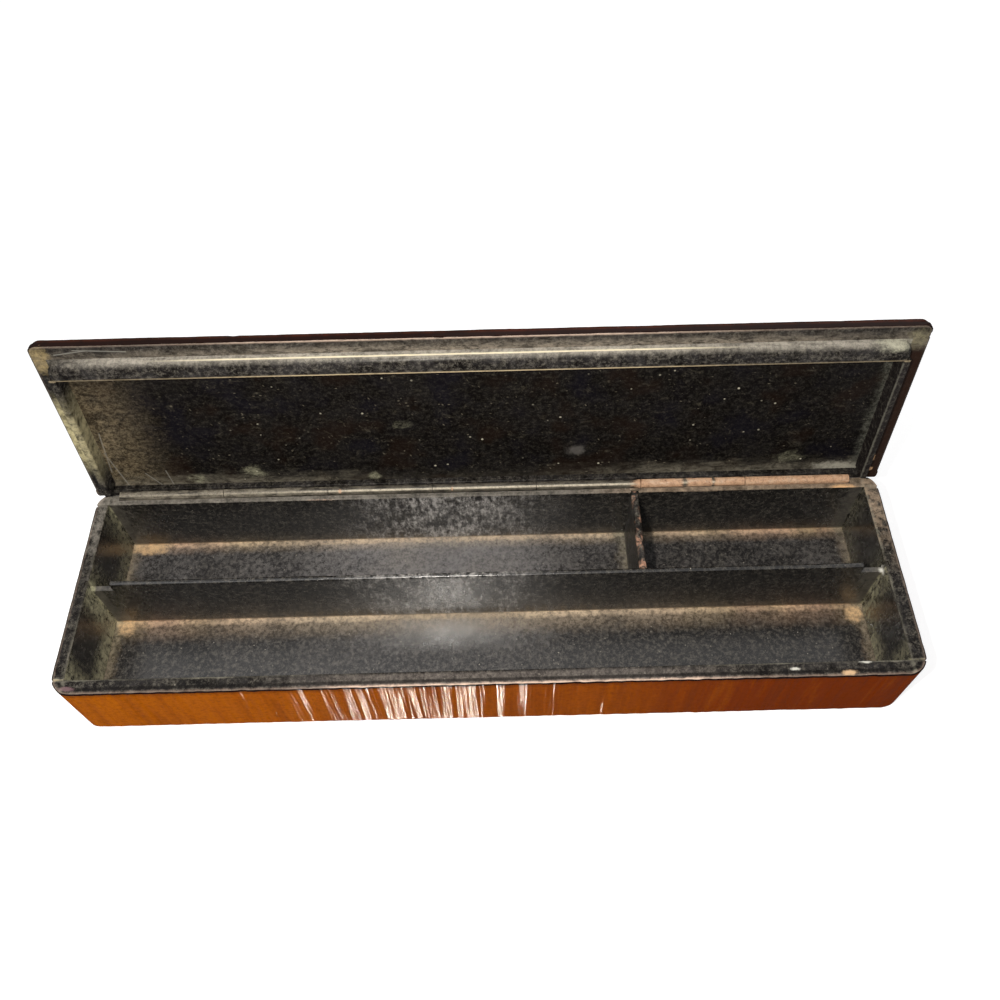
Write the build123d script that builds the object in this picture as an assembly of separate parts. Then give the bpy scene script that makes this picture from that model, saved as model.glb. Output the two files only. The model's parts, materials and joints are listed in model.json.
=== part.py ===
from build123d import *
import math
import os

# An antique lacquered pencil box with a long hinged lid.
# Millimetres. Origin at the centre of the underside, +X to the right along the
# length, +Y towards the hinge, +Z up. The lid is drawn closed and then swung open.

# Outside of the box
length = 225.0
width = 59.4
base_height = 26.7
lid_thickness = 4.0
open_angle = 98.0
base_corner_radius = 5.4
lid_corner_radius = 2.2
foot_edge_radius = 1.6
lid_edge_radius = 2.0
arris = 0.3

# Boards of the base
front_wall = 3.8
back_wall = 4.1
left_wall = 3.5
right_wall = 4.2
bottom_thickness = 2.4
bottom_rebate = 1.2

# Long divider and cross partition
divider_thickness = 1.4
front_compartment = 26.4
divider_drop = 0.3
divider_housing = 1.0
notch_width = 5.8
notch_clearance = 0.4
partition_thickness = 2.2
left_compartment = 150.4
partition_drop = 0.9
partition_housing = 0.8
ledge_arris = 0.35

# Lid frame, and the lips that drop inside the base
lid_recess = 1.7
lid_back_rail = 3.6
rim_gap = 0.15
lip_height = 3.2
lip_gap = 0.35
front_lip_width = 4.7
front_lip_round = 2.4
front_lip_corner = 3.4
side_lip_width = 1.9
side_lip_round = 0.5
side_lip_back_gap = 0.6

# Hinge
barrel_radius = 1.4
barrel_inset = 1.15
pin_radius = 0.55
pin_clearance = 0.05
knuckle_count = 7
knuckle_gap = 0.2
hinge_left_margin = 6.7
hinge_right_margin = 8.2
barrel_clearance = 0.25
leaf_thickness = 0.5
base_leaf_depth = 7.0
lid_leaf_depth = 3.2
stop_gap = 0.15
pivot_relief = 0.35

# Small pins that hold the hinge leaves in their kerfs
leaf_pin_count = 5
leaf_pin_radius = 0.4
leaf_pin_fit = 0.03
leaf_pin_reach = 1.4
leaf_pin_end_margin = 14.0

# Faces and lines that the sizes above give
left, right = -length / 2, length / 2
front, back = -width / 2, width / 2
rim = base_height
lid_rim = rim + rim_gap
lid_top = lid_rim + lid_thickness
panel = lid_rim + lid_recess
floor = bottom_thickness
inner_left, inner_right = left + left_wall, right - right_wall
inner_front, inner_back = front + front_wall, back - back_wall
divider_front = inner_front + front_compartment
divider_back = divider_front + divider_thickness
partition_left = inner_left + left_compartment
partition_right = partition_left + partition_thickness
axis_y = back - barrel_inset
axis_z = rim + rim_gap / 2
hinge_left = left + hinge_left_margin
hinge_right = right - hinge_right_margin
leaf_front = axis_y - barrel_radius
leaf_back = leaf_front + leaf_thickness
leaf_relief = barrel_radius + barrel_clearance
touch = 0.01


def block(x0, x1, y0, y1, z0, z1):
    """A box between two opposite corners."""
    centre = Pos((x0 + x1) / 2, (y0 + y1) / 2, (z0 + z1) / 2)
    return centre * Box(x1 - x0, y1 - y0, z1 - z0)


def rod(radius, x0, x1, y, z):
    """A round bar along X."""
    return Pos((x0 + x1) / 2, y, z) * Rot(0, 90, 0) * Cylinder(radius, x1 - x0)


def edges_along(part, axis, x=None, y=None, z=None):
    """Straight edges along an axis whose centres lie on the given planes."""
    def on_planes(edge):
        centre = edge.center()
        wanted = ((centre.X, x), (centre.Y, y), (centre.Z, z))
        return all(target is None or abs(value - target) < touch for value, target in wanted)
    return part.edges().filter_by(axis).filter_by(on_planes)


def softened(part, axis, radius, x=None, y=None, z=None):
    """The part with a worn round on the edges found by edges_along."""
    return fillet(edges_along(part, axis, x, y, z), radius)


def base_envelope():
    """The outside of the base as one block, with its rounded corners and edges."""
    body = block(left, right, front, back, 0, rim)
    body = fillet(body.edges().filter_by(Axis.Z), base_corner_radius)
    body = fillet(body.faces().sort_by(Axis.Z)[0].edges(), foot_edge_radius)
    return fillet(body.faces().sort_by(Axis.Z)[-1].edges(), arris)


def lid_envelope():
    """The outside of the closed lid as one block, with its rounded upper edge."""
    body = block(left, right, front, back, lid_rim, lid_top)
    body = fillet(body.edges().filter_by(Axis.Z), lid_corner_radius)
    body = fillet(body.faces().sort_by(Axis.Z)[-1].edges(), lid_edge_radius)
    return fillet(body.faces().sort_by(Axis.Z)[0].edges(), arris)


def stop_bevel(side):
    """The wedge cut from the back edge, below the hinge line for side -1 and above it for +1."""
    half = math.radians(open_angle / 2)
    offset = stop_gap / 2 / math.cos(half)
    reach = 2 * (barrel_inset + barrel_radius)
    start = axis_z + side * offset
    corners = [
        (axis_y, start),
        (axis_y + reach, start + side * reach * math.tan(half)),
        (axis_y + reach, axis_z - side * reach),
        (axis_y, axis_z - side * reach),
    ]
    profile = Plane.YZ * make_face(Polyline(*corners, close=True))
    return Pos(left, 0, 0) * extrude(profile, length)


def barrel_room():
    """The round channel along the hinge line that the barrel turns in."""
    end_room = barrel_clearance
    return rod(barrel_radius + barrel_clearance, hinge_left - end_room, hinge_right + end_room, axis_y, axis_z)


def pivot_room():
    """A fine groove along the hinge line, so that the two back edges never rub as the lid turns."""
    return rod(pivot_relief, left, right, axis_y, axis_z)


def leaf_kerf(side, depth):
    """The saw kerf for a leaf, down into the base for side -1 and up into the lid for +1."""
    low, high = sorted((axis_z, axis_z + side * depth))
    return block(hinge_left, hinge_right, leaf_front, leaf_back, low, high)


def leaf_pin_places():
    """Places along X of the pins through a leaf."""
    first = hinge_left + leaf_pin_end_margin
    last = hinge_right - leaf_pin_end_margin
    step = (last - first) / (leaf_pin_count - 1)
    return [first + step * index for index in range(leaf_pin_count)]


def leaf_pin_bars(radius, z, inner_end):
    """Round bars from beyond the back face to inner_end, one for each pin."""
    outer_end = back + barrel_radius
    bar = Rot(90, 0, 0) * Cylinder(radius, outer_end - inner_end)
    return [Pos(x, (inner_end + outer_end) / 2, z) * bar for x in leaf_pin_places()]


def leaf_pin_height(side, depth):
    """The height of the pins: the middle of the leaf's plain strip."""
    return axis_z + side * (leaf_relief + depth) / 2


def without(part, cutters):
    """The part with each cutter taken out in turn."""
    for cutter in cutters:
        part = part - cutter
    return part


base_pin_z = leaf_pin_height(-1, base_leaf_depth)
lid_pin_z = leaf_pin_height(1, lid_leaf_depth)
pin_inner_end = leaf_back - leaf_pin_reach
pin_hole_radius = leaf_pin_radius + leaf_pin_fit


def bottom_housing():
    """The room that the bottom board takes, let into the feet of the walls."""
    return block(
        inner_left - bottom_rebate, inner_right + bottom_rebate,
        inner_front - bottom_rebate, inner_back + bottom_rebate, 0, floor)


def divider_slots():
    """The housings in the two ends, open at the top, that hold the long divider."""
    return block(
        inner_left - divider_housing, inner_right + divider_housing,
        divider_front, divider_back, floor, rim + arris)


def partition_slot():
    """The housing in the back board, open at the top, that holds the cross partition."""
    return block(partition_left, partition_right, inner_back, inner_back + partition_housing, floor, rim + arris)


def base_front_board():
    board = base_envelope() & block(left, right, front, inner_front, 0, rim)
    board = board - bottom_housing()
    return softened(board, Axis.X, arris, y=inner_front, z=rim)


def base_back_board():
    board = base_envelope() & block(left, right, inner_back, back, 0, rim)
    board = softened(board, Axis.X, arris, y=inner_back, z=rim)
    cutters = [
        bottom_housing(), partition_slot(), stop_bevel(-1), barrel_room(), pivot_room(),
        leaf_kerf(-1, base_leaf_depth),
    ]
    return without(board, cutters + leaf_pin_bars(pin_hole_radius, base_pin_z, pin_inner_end))


def base_end_board(side):
    """The left end for side -1, the right end for +1."""
    outer, inner = (left, inner_left) if side < 0 else (right, inner_right)
    x0, x1 = sorted((outer, inner))
    board = base_envelope() & block(x0, x1, inner_front, inner_back, 0, rim)
    board = softened(board, Axis.Y, arris, x=inner, z=rim)
    return without(board, [bottom_housing(), divider_slots()])


def base_bottom_board():
    return base_envelope() & bottom_housing()


def long_divider():
    """A thin board across the length. Its top corners step down to clear the lid's side lips."""
    top = rim - divider_drop
    ledge = rim - lip_height - notch_clearance
    board = block(
        inner_left - divider_housing, inner_right + divider_housing,
        divider_front, divider_back, floor, top)
    board = without(board, [
        block(inner_left - divider_housing, inner_left + notch_width, divider_front, divider_back, ledge, top),
        block(inner_right - notch_width, inner_right + divider_housing, divider_front, divider_back, ledge, top),
    ])
    return softened(board, Axis.X, ledge_arris, z=top)


def cross_partition():
    """A short board between the long divider and the back board."""
    top = rim - partition_drop
    board = block(
        partition_left, partition_right, divider_back, inner_back + partition_housing, floor, top)
    return softened(board, Axis.Y, ledge_arris, z=top)


def lid_slab(x0, x1, y0, y1, z0, z1):
    """The part of the lid's outline that lies between two corners."""
    return lid_envelope() & block(x0, x1, y0, y1, z0, z1)


lid_frame_front = inner_front + lip_gap
lid_frame_back = back - lid_back_rail
lid_frame_left = inner_left + lip_gap
lid_frame_right = inner_right - lip_gap
front_lip_back = lid_frame_front + front_lip_width
lip_bottom = lid_rim - lip_height


def lid_hinge_cutters():
    """What the hinge takes out of the lid's back edge."""
    cutters = [stop_bevel(1), barrel_room(), pivot_room(), leaf_kerf(1, lid_leaf_depth)]
    return cutters + leaf_pin_bars(pin_hole_radius, lid_pin_z, pin_inner_end)


def lid_top_board():
    return without(lid_slab(left, right, front, back, panel, lid_top), lid_hinge_cutters())


def lid_front_rail():
    return lid_slab(left, right, front, lid_frame_front, lid_rim, panel)


def lid_back_rail_strip():
    rail = lid_slab(left, right, lid_frame_back, back, lid_rim, panel)
    rail = softened(rail, Axis.X, arris, y=lid_frame_back, z=lid_rim)
    return without(rail, lid_hinge_cutters())


def lid_side_rail(side):
    """The left rail for side -1, the right rail for +1."""
    outer, inner = (left, lid_frame_left) if side < 0 else (right, lid_frame_right)
    x0, x1 = sorted((outer, inner))
    return lid_slab(x0, x1, lid_frame_front, lid_frame_back, lid_rim, panel)


def lid_front_lip():
    """The wide lip: a square root in the lid's recess and a rounded part that drops into the base."""
    root = block(lid_frame_left, lid_frame_right, lid_frame_front, front_lip_back, lid_rim, panel)
    drop = block(lid_frame_left, lid_frame_right, lid_frame_front, front_lip_back, lip_bottom, lid_rim)
    corners = edges_along(drop, Axis.Z, y=lid_frame_front)
    drop = fillet(corners, front_lip_corner)
    outline = drop.faces().sort_by(Axis.Z)[0].edges()
    rear = outline.filter_by(Axis.X).sort_by(Axis.Y)[-1]
    rounded = [edge for edge in outline if abs(edge.center().Y - rear.center().Y) > touch]
    return root + fillet(rounded, front_lip_round)


def lid_side_lip(side):
    """The narrow lip along one end, left for side -1 and right for +1."""
    outer = lid_frame_left if side < 0 else lid_frame_right
    x0, x1 = sorted((outer, outer - side * side_lip_width))
    rear = inner_back - side_lip_back_gap
    strip = block(x0, x1, front_lip_back, rear, lip_bottom, panel)
    return softened(strip, Axis.Y, side_lip_round, z=lip_bottom)


def knuckle_spans():
    """The stretches along X that the knuckles fill, from left to right."""
    pitch = (hinge_right - hinge_left) / knuckle_count
    starts = [hinge_left + pitch * index for index in range(knuckle_count)]
    return [(start + knuckle_gap / 2, start + pitch - knuckle_gap / 2) for start in starts]


def hinge_leaf(side, depth, first):
    """A leaf with every second knuckle, from knuckle number first. Side -1 is the base's, +1 the lid's."""
    low, high = sorted((axis_z + side * leaf_relief, axis_z + side * depth))
    leaf = block(hinge_left, hinge_right, leaf_front, leaf_back, low, high)
    bore = rod(pin_radius + pin_clearance, left, right, axis_y, axis_z)
    for x0, x1 in knuckle_spans()[first::2]:
        low, high = sorted((axis_z, axis_z + side * leaf_relief))
        tab = block(x0, x1, leaf_front, leaf_back, low, high)
        leaf = leaf + tab + rod(barrel_radius, x0, x1, axis_y, axis_z)
    pin_z = leaf_pin_height(side, depth)
    return without(leaf - bore, leaf_pin_bars(pin_hole_radius, pin_z, pin_inner_end))


def hinge_pin():
    """The wire through all the knuckles. It stops flush with the two end knuckles."""
    return rod(pin_radius, hinge_left + knuckle_gap / 2, hinge_right - knuckle_gap / 2, axis_y, axis_z)


def leaf_pins(envelope, z):
    """The pins through one leaf, filed flush with the outside of the box."""
    pins = [bar & envelope for bar in leaf_pin_bars(leaf_pin_radius, z, pin_inner_end)]
    return Compound([pin.solids()[0] for pin in pins])


def swung_open(part):
    """A closed-lid part turned about the hinge line to the open position."""
    to_hinge = Pos(0, axis_y, axis_z)
    from_hinge = Pos(0, -axis_y, -axis_z)
    return to_hinge * Rot(-open_angle, 0, 0) * from_hinge * part


base_parts = {
    "base_front_board": base_front_board(),
    "base_back_board": base_back_board(),
    "base_left_end": base_end_board(-1),
    "base_right_end": base_end_board(1),
    "base_bottom_board": base_bottom_board(),
    "long_divider": long_divider(),
    "cross_partition": cross_partition(),
    "hinge_base_leaf": hinge_leaf(-1, base_leaf_depth, 0),
    "hinge_pin": hinge_pin(),
    "base_leaf_pins": leaf_pins(base_envelope(), base_pin_z),
}

lid_parts = {
    "lid_top_board": lid_top_board(),
    "lid_front_rail": lid_front_rail(),
    "lid_back_rail": lid_back_rail_strip(),
    "lid_left_rail": lid_side_rail(-1),
    "lid_right_rail": lid_side_rail(1),
    "lid_front_lip": lid_front_lip(),
    "lid_left_lip": lid_side_lip(-1),
    "lid_right_lip": lid_side_lip(1),
    "hinge_lid_leaf": hinge_leaf(1, lid_leaf_depth, 1),
    "lid_leaf_pins": leaf_pins(lid_envelope(), lid_pin_z),
}

os.makedirs("parts", exist_ok=True)
for name, part in base_parts.items():
    export_step(part, f"parts/{name}.step")
for name, part in lid_parts.items():
    export_step(swung_open(part), f"parts/{name}.step")
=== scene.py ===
import json
import math

import bmesh
import bpy
import numpy as np
from mathutils import Matrix, Vector

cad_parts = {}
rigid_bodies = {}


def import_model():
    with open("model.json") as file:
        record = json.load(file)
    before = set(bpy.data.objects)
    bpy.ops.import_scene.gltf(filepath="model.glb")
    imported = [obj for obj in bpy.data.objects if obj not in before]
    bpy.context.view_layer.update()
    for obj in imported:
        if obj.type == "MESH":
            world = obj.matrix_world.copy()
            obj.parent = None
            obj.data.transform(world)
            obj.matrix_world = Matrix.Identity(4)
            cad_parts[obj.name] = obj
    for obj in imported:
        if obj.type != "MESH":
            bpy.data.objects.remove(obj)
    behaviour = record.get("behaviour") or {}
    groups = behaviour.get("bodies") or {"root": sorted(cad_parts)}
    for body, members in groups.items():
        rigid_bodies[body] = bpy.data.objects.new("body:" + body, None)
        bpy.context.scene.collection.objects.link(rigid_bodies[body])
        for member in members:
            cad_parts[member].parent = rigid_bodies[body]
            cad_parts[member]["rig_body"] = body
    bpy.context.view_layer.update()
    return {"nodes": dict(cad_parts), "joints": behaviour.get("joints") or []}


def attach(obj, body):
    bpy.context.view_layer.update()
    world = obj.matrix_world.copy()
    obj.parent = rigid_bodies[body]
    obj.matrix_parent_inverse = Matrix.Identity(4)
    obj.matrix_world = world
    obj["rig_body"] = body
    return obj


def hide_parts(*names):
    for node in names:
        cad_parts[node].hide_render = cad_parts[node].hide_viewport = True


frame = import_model()

# Sizes read from the frame, in millimetres
MM = 0.001
joint = frame["joints"][0]
hinge_point = Vector(joint["pos_m"])
open_angle = math.radians(joint["range_deg"][1])
to_hinge = Matrix.Translation(hinge_point)
closing = to_hinge @ Matrix.Rotation(open_angle, 4, "X") @ to_hinge.inverted()
opening = closing.inverted()


def node_points(node):
    """The points of a CAD node in millimetres, with the lid shut."""
    mesh = frame["nodes"][node].data
    points = np.empty(len(mesh.vertices) * 3)
    mesh.vertices.foreach_get("co", points)
    points = points.reshape(-1, 3)
    if frame["nodes"][node]["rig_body"] == "lid":
        points = points @ np.array(closing.to_3x3()).T + np.array(closing.translation)
    return points / MM


def extent(node):
    """The lowest and highest corners of a CAD node in millimetres, with the lid shut."""
    points = node_points(node)
    return points.min(0), points.max(0)


left, front, foot = extent("base_front_board")[0]
right, inner_front, rim = extent("base_front_board")[1]
inner_back, back = extent("base_back_board")[0][1], extent("base_back_board")[1][1]
inner_left = extent("base_left_end")[1][0]
inner_right = extent("base_right_end")[0][0]
floor = extent("base_bottom_board")[1][2]
divider_front, divider_back = extent("long_divider")[0][1], extent("long_divider")[1][1]
partition_left, partition_right = extent("cross_partition")[0][0], extent("cross_partition")[1][0]
lid_rim, panel = extent("lid_front_rail")[0][2], extent("lid_front_rail")[1][2]
lid_top = extent("lid_top_board")[1][2]
lid_frame_front = extent("lid_front_rail")[1][1]
lid_frame_right = extent("lid_right_rail")[0][0]
lip_back = extent("lid_front_lip")[1][1]
lip_low = extent("lid_front_lip")[0][2]
right_lip_face = extent("lid_right_lip")[0][0]
partition_rim = extent("cross_partition")[1][2]
axis_y, axis_z = hinge_point.y / MM, hinge_point.z / MM

# Rounded outlines of the base and the lid, seen from above
base_corner = 5.4
lid_corner = 2.2

# Wear: smallest radius in millimetres of the worn round on each kind of edge
rim_wear = 0.3
joint_wear = 0.05
inner_wear = 0.3
divider_wear = 0.4
partition_wear = 0.8
skin_wear = 1.6
lid_edge_wear = 0.3
lid_round = 2.0

# Fine cutting, in millimetres: bare margin at each end, and the least gap between two cuts
cut_margin = 0.2
least_cut_gap = 0.18

# Mesh tolerances: for welding and cutting in metres, then the angles of flat and of sharp edges
weld_reach = 2e-6
cut_reach = 1e-7
flat_angle = math.radians(0.4)
sharp_angle = math.radians(38)

# Which faces of a piece take its outside or its rim finish, in millimetres from that surface
skin_depth = 0.35
rim_depth = 0.45
skin_margin = 0.2

# How far a ripple's seed lies from the seed of its piece
ripple_seed_step = 40


# Shapes: pieces cut finely from the frame's nodes, then worn

def swell(points, size, seed, waves=14):
    """Smooth noise from about -1 to 1, with bumps about size millimetres across."""
    rng = np.random.default_rng(seed)
    rates = rng.normal(size=(waves, 3))
    rates *= 2 * math.pi / size / np.linalg.norm(rates, axis=1, keepdims=True)
    rates *= rng.uniform(0.6, 1.5, (waves, 1))
    phases = rng.uniform(0, 2 * math.pi, waves)
    return np.sin(points @ rates.T + phases).sum(1) / math.sqrt(waves)


def outline_depth(points, corner):
    """How far each point lies inside the rounded outline, and the way inwards."""
    centre = np.array([(left + right) / 2, (front + back) / 2])
    half = np.array([(right - left) / 2, (back - front) / 2]) - corner
    offset = points[:, :2] - centre
    beyond = np.abs(offset) - half
    outside = np.maximum(beyond, 0)
    reach = np.linalg.norm(outside, axis=1)
    at_side = beyond.max(1) <= 0
    depth = np.where(at_side, corner - beyond.max(1), corner - reach)
    side = np.zeros_like(offset)
    nearest = beyond.argmax(1)
    side[np.arange(len(side)), nearest] = 1
    way = np.where(at_side[:, None], side, outside / np.maximum(reach, 1e-9)[:, None])
    inwards = np.zeros_like(points)
    inwards[:, :2] = -way * np.sign(offset)
    return depth, inwards


def plane_depth(points, axis, value, direction):
    """How far each point lies from a plane across an axis, and the way inwards."""
    inwards = np.zeros_like(points)
    inwards[:, axis] = direction
    return (points[:, axis] - value) * direction, inwards


def wear_growth(points, seed):
    """How much more an edge is worn at each point than its smallest wear, in millimetres."""
    slow = swell(points, 22, seed)
    quick = swell(points, 3.4, seed + 1)
    dents = np.clip(swell(points, 6.0, seed + 2) - 1.3, 0, 1)
    return np.clip(0.10 + 0.07 * slow + 0.05 * quick + 0.5 * dents, 0, 0.6)


def wear_edges(points, faces, seed):
    """Rounds the edges between pairs of faces. Each face is a function and its edge radius."""
    growth = wear_growth(points, seed)
    for first in range(len(faces)):
        for second in range(first + 1, len(faces)):
            radius = min(faces[first][1], faces[second][1]) + growth
            depth_a, way_a = faces[first][0](points)
            depth_b, way_b = faces[second][0](points)
            short_a, short_b = radius - depth_a, radius - depth_b
            reach = np.hypot(short_a, short_b)
            worn = (short_a > 0) & (short_b > 0) & (reach > radius)
            share = np.where(worn, 1 - radius / np.maximum(reach, 1e-9), 0)
            points = points + (share * short_a)[:, None] * way_a + (share * short_b)[:, None] * way_b
    return points


def ripple(points, corner, height, seed):
    """Fine upright ripples in the lacquer of the outside faces."""
    depth, inwards = outline_depth(points, corner)
    across = points.copy()
    across[:, 2] *= 0.12
    wave = swell(across, 4.6, seed) + 0.5 * swell(across, 2.3, seed + 1)
    skin = np.clip(1 - depth / 0.4, 0, 1)
    return points + (skin * height * (1 + wave))[:, None] * inwards


def cut_places(low, high, step, near=(0.3, 0.6, 1.0, 1.6)):
    """Places to cut between two ends: close together at the ends and evenly between."""
    count = max(2, round((high - low) / step))
    even = [low + (high - low) * index / count for index in range(1, count)]
    ends = [low + gap for gap in near] + [high - gap for gap in near]
    inside = [place for place in even + ends if low + cut_margin < place < high - cut_margin]
    kept = []
    for place in sorted(inside):
        if not kept or place - kept[-1] > least_cut_gap:
            kept.append(place)
    return kept


def finely_cut(node, steps):
    """A mesh with the node's shape, lid shut, cut across X, Y and Z at about the given steps."""
    source = frame["nodes"][node]
    cut = bmesh.new()
    cut.from_mesh(source.data)
    if source["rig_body"] == "lid":
        bmesh.ops.transform(cut, matrix=closing, verts=cut.verts)
    bmesh.ops.remove_doubles(cut, verts=cut.verts, dist=weld_reach)
    bmesh.ops.dissolve_limit(cut, angle_limit=flat_angle, verts=cut.verts, edges=cut.edges)
    low, high = extent(node)
    for axis, step in enumerate(steps):
        normal = Vector([float(axis == index) for index in range(3)])
        for place in cut_places(low[axis], high[axis], step):
            everything = cut.verts[:] + cut.edges[:] + cut.faces[:]
            bmesh.ops.bisect_plane(
                cut, geom=everything, dist=cut_reach, plane_co=normal * place * MM, plane_no=normal)
    mesh = bpy.data.meshes.new(node + "_worn")
    cut.to_mesh(mesh)
    cut.free()
    return mesh


def box_faces(node, corner, wear):
    """The faces of a box-like node, each with its edge radius.

    wear gives the radius by face: skin is the rounded outline, west and east are across X, south
    and north across Y, under and over across Z.
    """
    low, high = extent(node)
    sides = {
        "west": (0, low[0], 1), "east": (0, high[0], -1),
        "south": (1, low[1], 1), "north": (1, high[1], -1),
        "under": (2, low[2], 1), "over": (2, high[2], -1),
    }
    faces = []
    for name, radius in wear.items():
        if name == "skin":
            faces.append((lambda points: outline_depth(points, corner), radius))
        else:
            axis, value, direction = sides[name]
            faces.append((
                lambda points, axis=axis, value=value, direction=direction:
                plane_depth(points, axis, value, direction), radius))
    return faces


def worn_piece(node, wear, steps, seed, rippled=0.0):
    """A piece with the node's shape that rides on its body in the node's place.

    wear is as for box_faces, steps are the millimetres between cuts across X, Y and Z, and rippled
    is the ripple's height.
    """
    body = frame["nodes"][node]["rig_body"]
    corner = lid_corner if body == "lid" else base_corner
    mesh = finely_cut(node, steps)
    flat = np.empty(len(mesh.vertices) * 3)
    mesh.vertices.foreach_get("co", flat)
    points = flat.reshape(-1, 3) / MM
    low, high = points.min(0), points.max(0)
    points = wear_edges(points, box_faces(node, corner, wear), seed)
    if rippled:
        points = ripple(points, corner, rippled, seed + ripple_seed_step)
    points = np.clip(points, low, high)
    mesh.vertices.foreach_set("co", (points * MM).ravel())
    if body == "lid":
        mesh.transform(opening)
    mesh.update()
    mesh.shade_smooth()
    mesh.set_sharp_from_angle(angle=sharp_angle)
    piece = bpy.data.objects.new(node + "_worn", mesh)
    bpy.context.scene.collection.objects.link(piece)
    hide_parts(node)
    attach(piece, body)
    return piece


# Materials

def tone(red, green, blue):
    """A colour written as the 0 to 255 values that a picture shows."""
    def linear(value):
        value /= 255
        return value / 12.92 if value <= 0.04045 else ((value + 0.055) / 1.055) ** 2.4
    return (linear(red), linear(green), linear(blue), 1.0)


class Nodes:
    """A node tree. add returns the node that it adds, and the other methods return outputs."""

    def __init__(self, tree):
        self.tree = tree

    def add(self, kind, inputs, **settings):
        node = self.tree.nodes.new("ShaderNode" + kind)
        for key, value in settings.items():
            setattr(node, key, value)
        for key, value in inputs.items():
            if isinstance(value, bpy.types.NodeSocket):
                self.tree.links.new(value, node.inputs[key])
            else:
                node.inputs[key].default_value = value
        return node

    def place(self):
        """The place on a piece in millimetres, as it is modelled."""
        at = self.add("TexCoord", {}).outputs["Object"]
        return self.add("VectorMath", {0: at, 3: 1 / MM}, operation="SCALE").outputs[0]

    def shut_place(self):
        """The place on a lid piece in millimetres, turned from the open lid to the shut one."""
        at = self.add("TexCoord", {}).outputs["Object"]
        turned = self.add(
            "VectorRotate", {"Vector": at, "Center": hinge_point, "Angle": open_angle},
            rotation_type="X_AXIS").outputs[0]
        return self.add("VectorMath", {0: turned, 3: 1 / MM}, operation="SCALE").outputs[0]

    def parts(self, at):
        node = self.add("SeparateXYZ", {0: at})
        return node.outputs[0], node.outputs[1], node.outputs[2]

    def stretched(self, at, x, y, z):
        return self.add("VectorMath", {0: at, 1: (x, y, z)}, operation="MULTIPLY").outputs[0]

    def math(self, operation, a, b=0.0, clamp=False):
        return self.add("Math", {0: a, 1: b}, operation=operation, use_clamp=clamp).outputs[0]

    def noise(self, at, size, detail=4.0, rough=0.6, bend=0.0):
        """Noise from 0 to 1 with features about size millimetres across."""
        node = self.add("TexNoise", {
            "Vector": at, "Scale": 1 / size, "Detail": detail, "Roughness": rough, "Distortion": bend})
        return node.outputs[0]

    def step(self, value, low, high, start=0.0, end=1.0):
        """A smooth step from start to end as the value goes from low to high."""
        node = self.add("MapRange", {
            "Value": value, "From Min": low, "From Max": high, "To Min": start, "To Max": end},
            interpolation_type="SMOOTHSTEP")
        return node.outputs[0]

    def blend(self, share, a, b):
        """Colour a where share is 0 and colour b where it is 1."""
        return self.add("Mix", {0: share, 6: a, 7: b}, data_type="RGBA").outputs[2]

    def between(self, share, a, b):
        return self.add("Mix", {0: share, 2: a, 3: b}, data_type="FLOAT").outputs[0]

    def spot(self, at, centre, radii, ragged=None):
        """1 at a centre, falling to 0 at the given radii, with a ragged edge if asked."""
        away = self.add("VectorMath", {0: at, 1: centre}, operation="SUBTRACT").outputs[0]
        scaled = self.add(
            "VectorMath", {0: away, 1: tuple(1 / r for r in radii)}, operation="MULTIPLY").outputs[0]
        reach = self.add("VectorMath", {0: scaled}, operation="LENGTH").outputs["Value"]
        if ragged is not None:
            reach = self.math("ADD", reach, self.math("MULTIPLY", self.math("SUBTRACT", ragged, 0.5), 1.6))
        return self.step(reach, 0.35, 1.0, 1.0, 0.0)

    def line(self, at, start, end, width, ragged):
        """1 along a straight mark between two points, with ragged edges."""
        along = Vector(end) - Vector(start)
        away = self.add("VectorMath", {0: at, 1: start}, operation="SUBTRACT").outputs[0]
        dot = self.add("VectorMath", {0: away, 1: tuple(along)}, operation="DOT_PRODUCT").outputs["Value"]
        share = self.math("MULTIPLY", dot, 1 / along.length_squared, clamp=True)
        nearest = self.add("VectorMath", {0: tuple(along), 3: share}, operation="SCALE").outputs[0]
        gap = self.add("VectorMath", {0: away, 1: nearest}, operation="DISTANCE").outputs["Value"]
        gap = self.math("ADD", gap, self.math("MULTIPLY", self.math("SUBTRACT", ragged, 0.45), 2.4 * width))
        return self.step(gap, width * 0.5, width, 1.0, 0.0)

    def most(self, *values):
        result = values[0]
        for value in values[1:]:
            result = self.math("MAXIMUM", result, value)
        return result

    def times(self, *values):
        result = values[0]
        for value in values[1:]:
            result = self.math("MULTIPLY", result, value)
        return result

    def plus(self, *values):
        result = values[0]
        for value in values[1:]:
            result = self.math("ADD", result, value)
        return result

    def minus(self, a, b):
        return self.math("SUBTRACT", a, b)

    def size_of(self, value):
        return self.math("ABSOLUTE", value)

    def spots(self, at, height, ragged, *marks):
        """The most of some spots at one height, each given as x, y, radii and strength."""
        return self.most(*(
            self.times(self.spot(at, (x, y, height), radii, ragged), strength)
            for x, y, radii, strength in marks))

    def scratches(self, at, height, ragged, *marks):
        """The most of some lines at one height, each given as two places and its width."""
        return self.most(*(
            self.line(at, (*start, height), (*end, height), width, ragged) for start, end, width in marks))

    def rays(self):
        """Which rays come straight from the camera, and which come off gloss or through glass."""
        path = self.add("LightPath", {}).outputs
        return path["Is Camera Ray"], self.most(path["Is Glossy Ray"], path["Is Transmission Ray"])


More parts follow.
